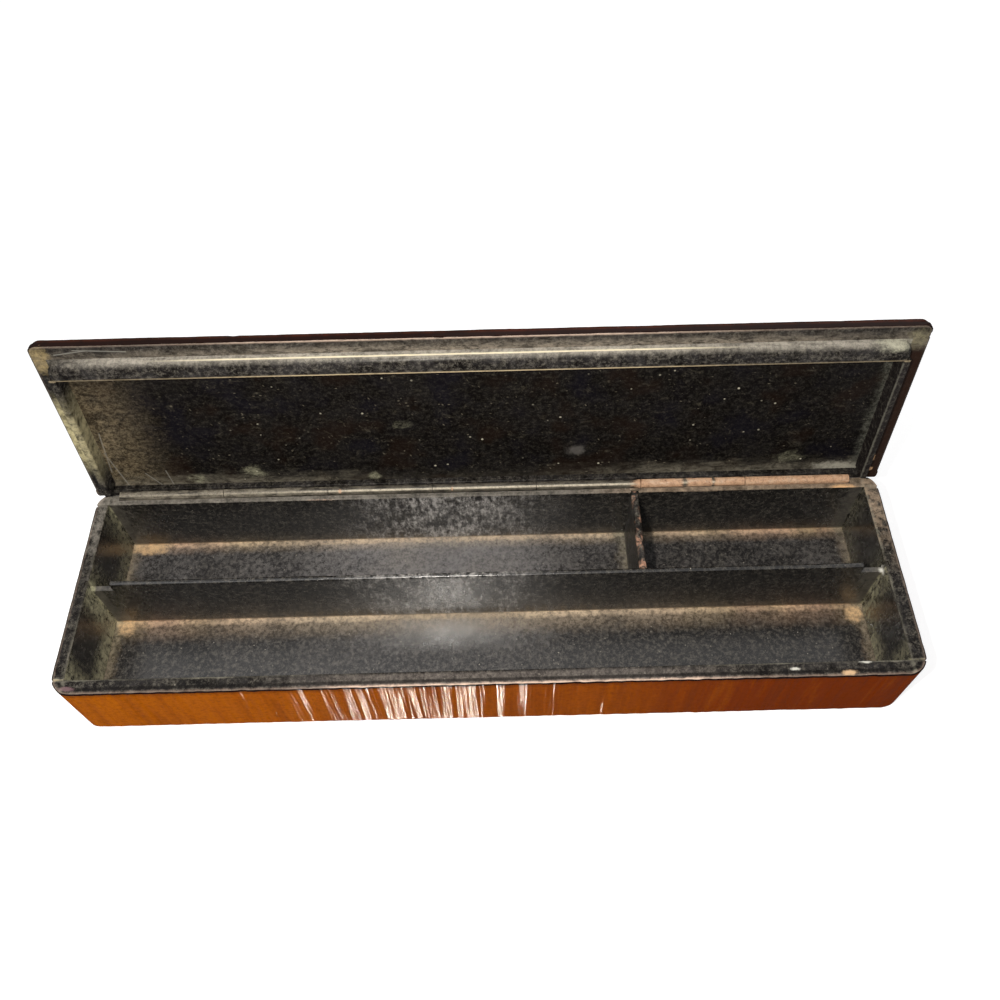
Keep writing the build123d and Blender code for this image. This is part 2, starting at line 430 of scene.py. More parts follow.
class Finish(Nodes):
    """A material and its node tree."""

    def __init__(self, name):
        self.material = bpy.data.materials.new(name)
        self.material.use_nodes = True
        super().__init__(self.material.node_tree)
        self.tree.nodes.clear()

    def finished(self, colour, roughness, height, depth, **sockets):
        """Ends the tree with the shader. depth is the bump's height in metres."""
        bump = self.add("Bump", {"Height": height, "Distance": depth, "Strength": 1.0})
        shader = self.add("BsdfPrincipled", {
            "Base Color": colour, "Roughness": roughness, "Normal": bump.outputs[0]})
        self.tree.links.new(bump.outputs[0], shader.inputs["Coat Normal"])
        for key, value in sockets.items():
            socket = shader.inputs[key.replace("_", " ")]
            if isinstance(value, bpy.types.NodeSocket):
                self.tree.links.new(value, socket)
            else:
                socket.default_value = value
        output = self.add("OutputMaterial", {0: shader.outputs[0]})
        output.is_active_output = True
        return self.material


# Colours of the finishes, as a picture shows them
deep_black = tone(12, 10, 9)
grey_bloom = tone(60, 58, 58)
pale_speck = tone(158, 152, 140)
grey_dust = tone(134, 128, 117)
pale_dust = tone(200, 180, 152)
tan_dust = tone(206, 172, 124)
peach_dust = tone(214, 168, 134)
green_dust = tone(164, 164, 132)
white_dust = tone(210, 208, 198)
bare_wood = tone(190, 146, 122)
amber_left = tone(166, 88, 2)
amber_middle = tone(138, 68, 2)
amber_right = tone(110, 42, 1)
dark_band = tone(20, 9, 5)
mahogany_dark = tone(20, 7, 5)
mahogany_red = tone(66, 27, 14)
bare_metal = tone(188, 152, 122)
metal_shade = tone(112, 78, 56)


def band(f, gap, width, ragged, spread=1.0):
    """1 where gap is well under width, fading to 0 beyond it, and ragged as asked."""
    edge = f.plus(gap, f.times(f.minus(ragged, 0.5), 1.8 * spread * width))
    return f.step(edge, 0.0, width * 1.1, 1.0, 0.0)


def gap_to(f, value, *walls):
    """The distance to the nearest of some planes."""
    gaps = [f.size_of(f.minus(value, wall)) for wall in walls]
    nearest = gaps[0]
    for gap in gaps[1:]:
        nearest = f.math("MINIMUM", nearest, gap)
    return nearest


def outline_gap(f, x, y, corner):
    """How far a place lies inside the rounded outline."""
    over_x = f.minus(f.size_of(x), right - corner)
    over_y = f.minus(f.size_of(y), back - corner)
    out_x, out_y = f.most(over_x, 0.0), f.most(over_y, 0.0)
    reach = f.math("SQRT", f.plus(f.times(out_x, out_x), f.times(out_y, out_y)))
    inner = f.math("MINIMUM", f.most(over_x, over_y), 0.0)
    return f.minus(corner, f.plus(reach, inner))


def lacquer_colour(f, at, bloom=0.6, grit=0.4):
    """Black lacquer with a cloudy bloom and fine grit, and its fine, middling and cloudy noises."""
    cloudy = f.noise(at, 11, 5, 0.62)
    middling = f.noise(at, 2.8, 6, 0.7)
    fine = f.noise(at, 1.3, 6, 0.88)
    mixed = f.plus(f.times(cloudy, 0.45), f.times(middling, 0.55))
    colour = f.blend(f.step(mixed, 0.40, 0.64, 0.0, bloom), deep_black, grey_bloom)
    colour = f.blend(f.step(fine, 0.46, 0.66, 0.0, grit), colour, grey_dust)
    return colour, fine, middling, cloudy


def specks(f, at, size, share, radius=0.16):
    """Scattered specks about size millimetres apart, in the given share of the places, some faint."""
    cells = f.add("TexVoronoi", {"Vector": at, "Scale": 1 / size, "Randomness": 1.0})
    chance, faintness = f.add("SeparateColor", {0: cells.outputs["Color"]}).outputs[:2]
    chosen = f.step(chance, 1 - share - 0.03, 1 - share)
    round_spot = f.step(cells.outputs["Distance"], radius * 0.4, radius, 1.0, 0.0)
    return f.times(chosen, round_spot, f.step(faintness, 0.0, 1.0, 0.25, 1.0))


def inner_lacquer():
    """Old black lacquer inside the base: polished clouds, grit, dust along the feet of the walls, and a
    painted sheen on the floors and walls near the middle.
    """
    f = Finish("black_lacquer_inside")
    at = f.place()
    x, y, z = f.parts(at)
    colour, fine, middling, cloudy = lacquer_colour(f, at, 0.12, 0.30)
    upright = f.noise(f.stretched(at, 1, 1, 0.22), 1.5, 5, 0.75)
    slow = f.noise(at, 15, 3, 0.55)
    soft = f.noise(f.stretched(at, 1, 1, 0.5), 1.6, 4, 0.7)

    in_rear = f.step(y, divider_front, divider_back)
    on_floor = f.times(f.step(z, floor + 0.15, floor + 0.5, 1.0, 0.0), f.step(z, floor - 0.6, floor - 0.2))
    on_wall = f.minus(1.0, f.step(z, floor + 0.15, floor + 0.5, 1.0, 0.0))
    far_gap = f.between(in_rear, gap_to(f, y, divider_front), gap_to(f, y, inner_back))
    near_gap = f.between(in_rear, gap_to(f, y, inner_front), gap_to(f, y, divider_back))
    end_gap = gap_to(f, x, inner_left, inner_right)
    beside = f.plus(gap_to(f, x, partition_left, partition_right), f.times(f.minus(1.0, in_rear), 99.0))
    side_gap = f.math("MINIMUM", end_gap, beside)
    long_gap = f.math("MINIMUM", far_gap, near_gap)
    height = f.minus(z, floor)

    # Dust veil on the floors, made paler near the middle as a painted sheen
    clouds = f.plus(f.times(cloudy, 0.5), f.times(slow, 0.5))
    share = f.times(f.between(in_rear, 0.20, 0.95), f.step(x, -70, 90, 1.2, 0.75))
    painted_middle_sheen = f.step(f.size_of(f.plus(x, 15)), 8, 56, 0.72, 0.0)
    dust_and_sheen_veil = f.times(on_floor, f.plus(f.step(clouds, 0.38, 0.62, 0.16, 0.50), painted_middle_sheen), share)
    dust_and_sheen_veil = f.times(dust_and_sheen_veil, f.step(fine, 0.40, 0.60, 0.25, 1.0))
    colour = f.blend(dust_and_sheen_veil, colour, f.blend(cloudy, tone(104, 104, 110), tone(112, 106, 98)))
    colour = f.blend(f.times(specks(f, at, 1.5, 0.3), 0.75), colour, pale_speck)

    ragged_gap = f.plus(far_gap, f.times(f.minus(middling, 0.5), 3.0))
    core = f.step(ragged_gap, 0.7, f.between(in_rear, 3.0, 2.4), 0.85, 0.0)
    tail = f.step(ragged_gap, 1.0, f.between(in_rear, 8.0, 4.6), 0.34, 0.0)
    side_drift = f.times(band(f, side_gap, 3.4, middling), 0.42)
    drift = f.most(core, tail, side_drift, f.times(band(f, near_gap, 1.2, middling), 0.2))
    drift = f.times(drift, f.step(fine, 0.40, 0.57, 0.38, 1.0), f.step(slow, 0.36, 0.60, 0.56, 0.92))
    foot = f.step(f.plus(height, f.times(f.minus(fine, 0.5), 1.4)), 0.1, 0.9, 0.6, 0.0)
    foot = f.times(foot, f.step(long_gap, 0.1, 0.3, 1.0, 0.0), on_wall)
    drift = f.most(f.times(drift, on_floor), foot)
    warmth = f.step(f.noise(at, 26, 2, 0.5), 0.42, 0.58)
    to_ends = f.step(f.size_of(f.plus(x, 8.0)), 44, 100, 0.1, 0.8)
    drift_colour = f.blend(f.times(to_ends, 0.8), pale_dust, f.blend(warmth, tan_dust, peach_dust))
    side_share = f.step(side_gap, 1.0, 5.0, 0.6, 0.0)
    drift_colour = f.blend(side_share, drift_colour, tone(170, 166, 140))
    colour = f.blend(drift, colour, drift_colour)

    on_end = f.times(f.step(end_gap, 0.2, 0.6, 1.0, 0.0), on_wall)
    wash = f.most(band(f, height, 11.0, upright), band(f, long_gap, 8.0, upright, 1.1))
    wash = f.times(wash, f.between(in_rear, f.step(x, -50, 50, 1.0, 0.5), f.step(x, -50, 50, 0.42, 0.12)))
    end_dust = f.times(
        on_end, wash, f.step(upright, 0.38, 0.58, 0.2, 1.0), f.step(middling, 0.36, 0.58, 0.45, 1.0),
        f.step(fine, 0.42, 0.56, 0.2, 1.0), 2.4)
    colour = f.blend(end_dust, colour, f.blend(cloudy, green_dust, tone(182, 172, 144)))
    wall_dust = f.times(band(f, end_gap, 7.0, upright, 1.3), f.minus(on_wall, on_end), 0.34)
    colour = f.blend(f.times(wall_dust, f.step(fine, 0.3, 0.64, 0.4, 1.0)), colour, grey_dust)

    blobs = f.spots(
        at, floor, middling, (105.2, -2.6, (3.4, 3.2, 1.2), 1.0), (-104.4, 24.0, (7.0, 2.4, 1.2), 0.9),
        (-105.4, -1.2, (3.2, 3.4, 1.2), 1.0))
    colour = f.blend(f.times(blobs, f.step(fine, 0.36, 0.6, 0.3, 0.85)), colour, tone(212, 176, 130))
    pale_end = f.spot(at, (inner_right, 0.8, 23.6), (1.2, 1.6, 1.6), middling)
    colour = f.blend(pale_end, colour, white_dust)
    left_end = f.spot(at, (inner_left, 1.2, 24.0), (1.2, 2.6, 2.6), middling)
    colour = f.blend(f.times(left_end, 0.6), colour, tone(168, 166, 136))

    # Painted sheen: a pale mottled patch on the walls near the middle
    mottled = f.plus(f.times(upright, 0.35), f.times(soft, 0.35), f.times(cloudy, 0.3))
    mottled = f.step(mottled, 0.45, 0.58)
    near_middle = f.step(f.size_of(f.plus(x, 12.0)), 4, 38, f.between(in_rear, 0.72, 1.0), 0.0)
    painted_wall_sheen = f.times(near_middle, mottled, f.minus(on_wall, on_end), f.step(fine, 0.38, 0.58, 0.4, 1.0))
    colour = f.blend(painted_wall_sheen, colour, tone(176, 172, 168))

    dusty = f.most(drift, f.times(dust_and_sheen_veil, 0.7), end_dust, wall_dust, blobs)
    polish = f.plus(f.times(soft, 0.4), f.times(cloudy, 0.3), f.times(upright, 0.3))
    roughness = f.between(f.step(dusty, 0.0, 0.8), f.step(polish, 0.38, 0.62, 0.18, 0.30), 0.7)
    return f.finished(colour, roughness, soft, 0.000006, Specular_IOR_Level=0.5)


def rim_lacquer():
    """Black lacquer of the base's rim: worn lines along its edges, chips, dust by the hinge, a painted
    sheen near the middle of the front, and a painted highlight in the front's outer edge line.
    """
    f = Finish("black_lacquer_rim")
    at = f.place()
    x, y = f.parts(at)[:2]
    colour, fine, middling = lacquer_colour(f, at, 0.46, 0.40)[:3]
    line = f.noise(at, 1.8, 5, 0.75)
    patchy = f.step(f.noise(at, 16, 4, 0.6), 0.40, 0.60)
    colour = f.blend(f.times(specks(f, at, 1.6, 0.25), 0.8), colour, pale_speck)

    inner_gap = f.math(
        "MINIMUM", gap_to(f, x, inner_left, inner_right), gap_to(f, y, inner_front, inner_back))
    at_ends = f.step(f.size_of(x), inner_right - 2.0, inner_right - 0.5)
    end_line = f.times(
        band(f, inner_gap, 0.8, line, 1.6), at_ends, f.between(patchy, 0.1, 0.6),
        f.step(x, -50, 50, 0.5, 0.6))
    from_middle = f.size_of(f.minus(x, 5.0))
    off_middle = f.step(from_middle, 30, 70)
    inner_edge = band(f, gap_to(f, y, inner_front), 0.55, line, 1.2)
    front_line = f.times(inner_edge, f.between(patchy, 0.15, 0.55), off_middle)
    # Pale line along the front's worn outer edge, kept to the middle: partly wear, partly a painted
    # highlight
    outer_gap = outline_gap(f, x, y, base_corner)
    in_front = f.step(y, inner_front, inner_front - 1.0)
    reach = f.times(f.step(x, -44, -36, 0.25, 1.0), f.step(x, 48, 74, 1.0, 0.3), in_front)
    outer_edge_and_highlight = f.times(band(f, outer_gap, 0.75, line, 0.9), f.most(reach, 0.22))
    # Painted sheen: a paler veil on the front rim near the middle
    painted_rim_sheen = f.times(
        in_front, f.step(from_middle, 30, 70, 0.5, 0.0), f.step(fine, 0.36, 0.60, 0.3, 1.0))
    colour = f.blend(painted_rim_sheen, colour, tone(120, 112, 106))
    colour = f.blend(f.times(inner_edge, in_front, f.minus(0.8, off_middle)), colour, deep_black)
    colour = f.blend(f.most(end_line, front_line), colour, tone(156, 152, 136))
    colour = f.blend(outer_edge_and_highlight, colour, tone(204, 178, 160))
    groove = f.times(f.step(f.size_of(f.minus(outer_gap, 1.3)), 0.2, 0.6, 0.7, 0.0), in_front)
    colour = f.blend(groove, colour, deep_black)

    by_hinge = f.times(f.step(f.size_of(x), 88, 109), f.step(y, -6, 24))
    end_dust = f.times(by_hinge, f.step(middling, 0.40, 0.64, 0.0, 0.7))
    on_back = f.step(y, 24.0, 25.4)
    back_dust = f.times(
        on_back, f.most(f.step(x, -70, -10, 0.62, 0.5), f.step(x, 24, 50, 0.0, 0.55)),
        f.step(middling, 0.34, 0.6, 0.4, 1.0))
    pale_marks = f.times(f.most(end_dust, back_dust), f.step(fine, 0.3, 0.62, 0.5, 1.0))
    colour = f.blend(pale_marks, colour, f.blend(f.step(x, 20, 50), tone(150, 144, 134), tone(176, 154, 130)))

    torn = f.spot(at, (-48.5, 24.6, rim), (7.4, 1.3, 2.4), line)
    colour = f.blend(torn, colour, f.blend(fine, bare_wood, tone(226, 196, 172)))
    chip_tan = f.spot(at, (91.7, -28.9, rim), (2.6, 0.9, 0.8), line)
    colour = f.blend(chip_tan, colour, tone(200, 168, 132))
    chip_white = f.spots(
        at, rim, line, (78.2, -27.6, (1.6, 0.6, 0.7), 1.0), (96.2, -26.1, (2.0, 0.7, 0.8), 1.0))
    colour = f.blend(f.times(chip_white, 0.85), colour, white_dust)
    peach = f.spot(at, (102.3, 25.0, rim), (5.2, 1.9, 2.4), middling)
    colour = f.blend(f.times(peach, 0.9), colour, tone(214, 172, 128))
    mauve = f.spot(at, (-107.6, -28.3, rim), (2.6, 0.8, 0.8), line)
    colour = f.blend(f.times(mauve, 0.5), colour, tone(140, 112, 116))
    scratch = f.line(at, (-107.4, 12.7, rim), (-109.3, -20.5, rim), 0.22, line)
    colour = f.blend(f.times(scratch, 0.35), colour, grey_dust)
    joints = f.most(
        f.line(at, (-112.2, inner_front, rim), (inner_left, inner_front, rim), 0.24, line),
        f.times(f.line(at, (112.2, inner_front, rim), (inner_right, inner_front, rim), 0.2, line), 0.5))
    colour = f.blend(f.times(joints, 0.7), colour, tone(186, 172, 140))

    roughness = f.between(f.most(pale_marks, torn, chip_tan), f.step(middling, 0.3, 0.7, 0.26, 0.44), 0.85)
    relief = f.plus(f.times(fine, 0.5), f.times(middling, 0.5))
    return f.finished(
        colour, roughness, relief, 0.00004, Specular_IOR_Level=0.0, Coat_Weight=0.12, Coat_Roughness=0.24)


def amber_outside():
    """Glossy amber lacquer over figured wood, redder to the right."""
    f = Finish("amber_lacquer")
    at = f.place()
    x, _, z = f.parts(at)
    figure = f.noise(f.stretched(at, 1, 1, 0.07), 3.4, 4, 0.6, 0.3)
    broad = f.noise(f.stretched(at, 1, 1, 0.2), 17, 3, 0.5)
    grain = f.noise(f.stretched(at, 0.05, 0.05, 1), 0.6, 4, 0.6)
    pores = f.noise(at, 1.3, 6, 0.88)
    along = f.plus(x, f.times(f.minus(broad, 0.5), 60))
    colour = f.blend(f.step(along, left, 0), amber_left, amber_middle)
    colour = f.blend(f.step(along, 20, 80), colour, amber_right)
    colour = f.blend(f.step(figure, 0.42, 0.68, 0.0, 0.32), colour, tone(96, 38, 2))
    colour = f.blend(f.step(figure, 0.30, 0.46, 0.12, 0.0), colour, tone(186, 106, 8))
    colour = f.blend(f.step(grain, 0.5, 0.75, 0.0, 0.20), colour, tone(88, 38, 4))
    colour = f.blend(f.step(pores, 0.44, 0.62, 0.0, 0.42), colour, tone(84, 34, 2))
    height = f.plus(z, f.times(f.noise(at, 2.6, 4, 0.7), 1.1))
    under_rim = f.times(f.step(height, rim - 2.9, rim - 1.2), 0.45)
    colour = f.blend(under_rim, colour, tone(86, 36, 4))
    black_edge = f.step(height, rim - 0.95, rim - 0.55)
    colour = f.blend(black_edge, colour, dark_band)
    # Browner and darker along the foot
    darker_foot = f.step(f.minus(z, f.times(broad, 2.4)), 0.6, -0.4)
    colour = f.blend(f.times(darker_foot, 0.5), colour, tone(76, 40, 14))
    ridges = f.noise(f.stretched(at, 1, 1, 0.03), 5.0, 3, 0.5)
    breaks = f.noise(at, 0.8, 3, 0.7)
    relief = f.plus(ridges, f.times(breaks, 0.03))
    polished = f.step(z, foot + 0.6, foot + 1.6, 0.0, 0.03)
    return f.finished(
        colour, f.step(broad, 0.3, 0.7, 0.3, 0.4), relief, 0.0019,
        Specular_IOR_Level=0.0, Coat_Weight=polished, Coat_Roughness=0.06)


def panel_black():
    """The black lacquer of the lid's panel: dark, speckled, dusty at the left end and at the hinge."""
    f = Finish("black_lacquer_panel")
    at = f.shut_place()
    x, y = f.parts(at)[:2]
    colour, fine, middling = lacquer_colour(f, at, 0.12, 0.10)[:3]
    tint = f.noise(at, 15, 3, 0.5)
    colour = f.blend(f.step(tint, 0.5, 0.68, 0.0, 0.5), colour, tone(18, 17, 26))
    colour = f.blend(f.step(tint, 0.48, 0.34, 0.0, 0.5), colour, tone(30, 20, 14))
    turned = f.add("VectorRotate", {"Vector": at, "Angle": 0.6}, rotation_type="Z_AXIS").outputs[0]
    crowded = f.step(f.noise(at, 9, 4, 0.6), 0.38, 0.62, 0.2, 1.0)
    fibres = f.most(
        specks(f, f.stretched(at, 0.45, 1, 1), 1.0, 0.3, 0.2),
        specks(f, f.stretched(turned, 1, 0.4, 1), 1.1, 0.25, 0.2))
    colour = f.blend(f.times(fibres, crowded, 0.55), colour, tone(136, 128, 110))
    colour = f.blend(f.times(specks(f, at, 3.6, 0.35, 0.12), 0.9), colour, tone(190, 184, 164))
    wisps = f.noise(f.stretched(at, 0.7, 1, 1), 3.0, 7, 0.82, 0.6)
    colour = f.blend(f.step(wisps, 0.56, 0.72, 0.0, 0.34), colour, tone(104, 98, 84))

    to_left = f.step(f.plus(x, f.times(f.minus(wisps, 0.5), 34)), -84, -104)
    left_wash = f.times(
        to_left, f.step(y, -24, 4, 0.3, 0.9), f.step(wisps, 0.36, 0.62, 0.15, 1.0),
        f.step(fine, 0.40, 0.62, 0.15, 0.85))
    colour = f.blend(left_wash, colour, tone(150, 134, 106))
    along = f.noise(f.stretched(at, 0.25, 1, 1), 1.8, 5, 0.7)
    near_hinge = f.step(f.plus(y, f.times(f.minus(along, 0.5), 11)), 20, 28)
    off_middle = f.step(f.size_of(f.plus(x, 4)), 16, 62, 0.12, 0.85)
    near_hinge = f.times(near_hinge, off_middle, f.step(wisps, 0.38, 0.60, 0.2, 1.0))
    colour = f.blend(near_hinge, colour, tone(124, 118, 104))
    smears = f.spots(
        at, panel, middling, (-82.4, 24.0, (3.6, 2.4, 2), 1.0), (-32.2, 25.0, (2.6, 2.6, 2), 1.0),
        (-66.0, 21.6, (4.4, 3.4, 2), 1.0), (-22.1, 3.4, (3.4, 2.0, 2), 0.5),
        (86.0, 20.5, (5.0, 3.0, 2), 0.6))
    smears = f.times(smears, f.step(wisps, 0.40, 0.58, 0.08, 0.85), f.step(fine, 0.40, 0.58, 0.4, 1.0))
    colour = f.blend(smears, colour, tone(140, 138, 116))
    smudge = f.spot(at, (25.4, 15.4, panel), (3.4, 2.8, 2), middling)
    colour = f.blend(f.times(smudge, 0.42), colour, tone(112, 108, 104))
    deposit = f.times(
        f.spot(at, (101.5, 25.6, panel), (10.0, 3.4, 3), middling), f.step(fine, 0.3, 0.6, 0.4, 0.9))
    colour = f.blend(deposit, colour, tone(168, 164, 150))
    end_gap = gap_to(f, x, right_lip_face)
    crease_line = f.times(band(f, end_gap, 2.6, wisps, 1.6), f.step(fine, 0.4, 0.6, 0.1, 0.45))
    colour = f.blend(crease_line, colour, tone(120, 120, 110))
    scratches = f.scratches(
        at, panel, fine, ((-106.0, 12.0), (-103.0, 26.5), 0.34), ((-105.0, 4.0), (-106.3, 20.0), 0.3),
        ((-91.0, 20.0), (-90.2, 26.0), 0.28), ((-97.0, 21.0), (-93.0, 27.0), 0.26))
    colour = f.blend(f.times(scratches, 0.16), colour, white_dust)
    roughness = f.step(middling, 0.3, 0.7, 0.5, 0.7)
    relief = f.plus(f.times(fine, 0.5), f.times(middling, 0.5))
    return f.finished(
        colour, roughness, relief, 0.00006, Specular_IOR_Level=0.0, Coat_Weight=0.05, Coat_Roughness=0.25)


def rail_black():
    """The black lacquer of the lid's flat rim: scuffed beside the lip, with pale worn corners and edges,
    and a painted highlight along the middle of its front edge.
    """
    f = Finish("black_lacquer_rail")
    at = f.shut_place()
    x, y = f.parts(at)[:2]
    colour, fine, middling = lacquer_colour(f, at, 0.4, 0.3)[:3]
    line = f.noise(at, 1.8, 5, 0.75)
    scuffs = f.noise(f.stretched(at, 0.35, 1, 1), 1.4, 6, 0.75, 0.6)
    to_lip = f.times(
        f.step(y, -29.0, lid_frame_front, 0.12, 1.0), f.step(y, -20, -24),
        f.step(x, -100, -30, 0.4, 0.9), f.step(x, 60, 104, 1.0, 0.5),
        f.step(scuffs, 0.38, 0.58, 0.2, 0.9))
    colour = f.blend(f.times(to_lip, f.step(fine, 0.3, 0.62, 0.55, 1.0)), colour, tone(150, 140, 126))
    outer_gap = outline_gap(f, x, y, lid_corner)
    # Pale line along the worn outer edge, brighter along the front's middle as a painted highlight
    edge_line_and_highlight = f.times(band(f, outer_gap, 0.62, line, 0.8), f.step(line, 0.32, 0.56, 0.5, 1.0))
    painted_middle_sheen = f.step(f.size_of(f.plus(x, 4.0)), 40, 80, 0.9, 0.25)
    edge_line_and_highlight = f.times(edge_line_and_highlight, f.most(f.times(f.step(y, -26, -28), painted_middle_sheen), 0.2))
    colour = f.blend(edge_line_and_highlight, colour, tone(182, 160, 144))

    left_side = f.step(x, -106.5, -109.5)
    wash = f.times(left_side, f.step(f.size_of(f.minus(y, 2.5)), 18, 6, 0.0, 0.95))
    wash = f.times(wash, f.step(middling, 0.34, 0.56, 0.3, 1.0), f.step(fine, 0.3, 0.6, 0.6, 1.0))
    colour = f.blend(wash, colour, tone(198, 188, 146))
    left_corner = f.times(
        f.spot(at, (-110.2, -25.6, lid_rim), (3.4, 6.4, 2), middling),
        f.step(fine, 0.36, 0.62, 0.25, 0.8))
    colour = f.blend(left_corner, colour, tone(156, 138, 98))
    right_corner = f.times(
        f.spot(at, (109.4, -25.4, lid_rim), (4.0, 4.4, 2), middling),
        f.step(fine, 0.36, 0.62, 0.2, 0.75))
    colour = f.blend(right_corner, colour, tone(128, 122, 96))
    right_side = f.times(f.step(x, 107.5, 108.2), f.step(y, -24, -20))
    colour = f.blend(f.times(right_side, 0.9), colour, tone(40, 24, 16))
    inner_line = f.times(
        band(f, gap_to(f, x, lid_frame_right), 0.5, line), f.step(y, -22, -18, 0.0, 0.45))
    colour = f.blend(inner_line, colour, tone(128, 104, 84))
    chips = f.spots(
        at, lid_rim, line, (109.0, 19.5, (1.3, 1.9, 1), 1.0), (109.6, 24.6, (0.9, 1.0, 1), 1.0))
    colour = f.blend(chips, colour, tone(222, 176, 134))
    scratches = f.scratches(
        at, lid_rim, fine, ((-106, -27.0), (-98, -28.2), 0.3), ((-101, -28.4), (-88, -27.6), 0.26))
    colour = f.blend(f.times(scratches, 0.2), colour, white_dust)
    roughness = f.step(middling, 0.3, 0.7, 0.4, 0.55)
    return f.finished(
        colour, roughness, fine, 0.00006, Specular_IOR_Level=0.0, Coat_Weight=0.08, Coat_Roughness=0.25)


def lip_black():
    """The worn black lacquer of the lid's lips: a pale rubbed band along the front one, with painted
    highlights along its round and its foot.
    """
    f = Finish("black_lacquer_lip")
    at = f.shut_place()
    x, y, z = f.parts(at)
    colour, fine, middling, cloudy = lacquer_colour(f, at, 0.56, 0.42)
    streaky = f.noise(f.stretched(at, 0.2, 1, 1), 1.1, 5, 0.75)
    in_front = f.step(y, -19.5, -20.5)
    at_sides = f.minus(1.0, in_front)
    profile = f.plus(f.minus(lid_rim, z), f.minus(y, lid_frame_front))
    across = f.plus(profile, f.times(f.minus(middling, 0.5), 2.2))
    rub = f.times(f.step(across, 4.4, 0.8, 0.0, 1.0), f.step(cloudy, 0.36, 0.60, 0.8, 1.0), in_front)
    rub = f.times(rub, f.step(x, -108, -92, 0.2, 1.0), f.step(streaky, 0.32, 0.58, 0.55, 1.0))
    rub = f.times(rub, f.step(fine, 0.38, 0.58, 0.5, 1.0), f.step(x, 92, 104, 1.0, 0.6))
    colour = f.blend(rub, colour, tone(168, 162, 150))
    # A thin pale line along the round of the front lip, strongest near the middle: partly wear, partly a
    # painted highlight
    crest_gap = f.size_of(f.minus(profile, 1.5))
    crest_wear_and_highlight = f.times(
        band(f, crest_gap, 0.42, streaky, 0.7), in_front, f.step(x, -88, -60, 0.0, 0.9),
        f.step(x, 72, 40, 0.0, 1.0))
    colour = f.blend(crest_wear_and_highlight, colour, tone(226, 214, 184))
    # A thin pale line along the lip's back foot, brighter near the middle: partly a worn edge, partly a
    # painted highlight
    foot_line_and_highlight = f.most(gap_to(f, y, lip_back), gap_to(f, z, lip_low))
    foot_line_and_highlight = f.times(
        band(f, foot_line_and_highlight, 0.5, streaky, 0.8), f.step(streaky, 0.34, 0.52, 0.4, 0.9),
        f.step(f.size_of(f.plus(x, 4.0)), 40, 84, 1.0, 0.4))
    colour = f.blend(foot_line_and_highlight, colour, tone(206, 186, 150))

    left_side = f.step(x, -98, -106)
    pale = f.times(left_side, f.step(f.size_of(f.minus(y, 2.0)), 20, 4), at_sides)
    pale = f.times(pale, f.step(middling, 0.32, 0.60, 0.15, 1.0), f.step(fine, 0.3, 0.62, 0.5, 0.85))
    colour = f.blend(pale, colour, tone(190, 180, 142))
    right_side = f.times(f.step(x, 105.5, 106), at_sides)
    colour = f.blend(f.times(right_side, f.step(fine, 0.4, 0.6, 0.9, 0.45)), colour, tone(30, 26, 26))
    right_edge = f.most(gap_to(f, x, right_lip_face), gap_to(f, z, lip_low))
    right_edge = f.times(band(f, right_edge, 0.5, middling), at_sides, 0.4)
    colour = f.blend(right_edge, colour, tone(138, 136, 124))
    end_dust = f.times(
        f.spot(at, (104.5, -25.2, lid_rim - 1.4), (8.0, 2.2, 3), middling),
        f.step(fine, 0.34, 0.6, 0.2, 0.85))
    colour = f.blend(end_dust, colour, tone(176, 174, 154))
    roughness = f.between(rub, f.step(middling, 0.3, 0.7, 0.34, 0.48), 0.5)
    return f.finished(
        colour, roughness, f.plus(fine, streaky), 0.00003,
        Specular_IOR_Level=0.0, Coat_Weight=0.08, Coat_Roughness=0.25)


def partition_top():
    """The short partition: black lacquer worn through to pink wood along its top."""
    f = Finish("black_lacquer_partition")
    at = f.place()
    z = f.parts(at)[2]
    colour, fine, middling = lacquer_colour(f, at, 0.4, 0.3)[:3]
    top = f.step(z, partition_rim - 1.4, partition_rim - 0.5)
    bare = f.times(top, f.step(f.noise(at, 3.4, 6, 0.75, 0.6), 0.52, 0.64))
    colour = f.blend(f.times(bare, f.step(fine, 0.3, 0.6, 0.4, 0.9)), colour, bare_wood)
    colour = f.blend(f.times(top, f.step(fine, 0.48, 0.7, 0.0, 0.6)), colour, grey_dust)
    foot_dust = f.times(band(f, f.minus(z, floor), 5.0, middling, 1.2), 0.35)
    colour = f.blend(foot_dust, colour, grey_dust)
    roughness = f.between(bare, f.step(middling, 0.3, 0.7, 0.3, 0.45), 0.8)
    return f.finished(colour, roughness, f.plus(fine, middling), 0.00012, Specular_IOR_Level=0.15)


def lid_outside():
    """Dark red lacquer over the outside of the lid, near-black along its lower edge as painted shade."""
    f = Finish("mahogany_lacquer")
    at = f.shut_place()
    z = f.parts(at)[2]
    figure = f.noise(f.stretched(at, 1, 0.10, 0.3), 3.4, 4, 0.6, 0.5)
    broad = f.noise(at, 24, 3, 0.5)
    grain = f.noise(f.stretched(at, 0.05, 1, 1), 0.6, 4, 0.6)
    pores = f.noise(at, 1.3, 6, 0.88)
    colour = f.blend(f.step(broad, 0.3, 0.7), tone(50, 24, 10), mahogany_red)
    colour = f.blend(f.step(figure, 0.42, 0.66, 0.0, 0.6), colour, mahogany_dark)
    colour = f.blend(f.step(grain, 0.5, 0.75, 0.0, 0.3), colour, mahogany_dark)
    colour = f.blend(f.step(pores, 0.54, 0.76, 0.0, 0.4), colour, tone(10, 5, 4))
    # Painted shade: the lid's sides are made near-black below its top
    side = f.step(f.plus(z, f.times(broad, 0.6)), lid_top - 1.2, lid_top - 2.4)
    colour = f.blend(f.times(side, 0.9), colour, tone(22, 11, 8))
    scuff = f.times(specks(f, at, 4.0, 0.25, 0.12), 0.6)
    colour = f.blend(scuff, colour, tone(150, 116, 92))
    return f.finished(
        colour, f.step(broad, 0.3, 0.7, 0.3, 0.4), f.plus(grain, pores), 0.000012,
        Specular_IOR_Level=0.0, Coat_Weight=0.12, Coat_Roughness=0.08)


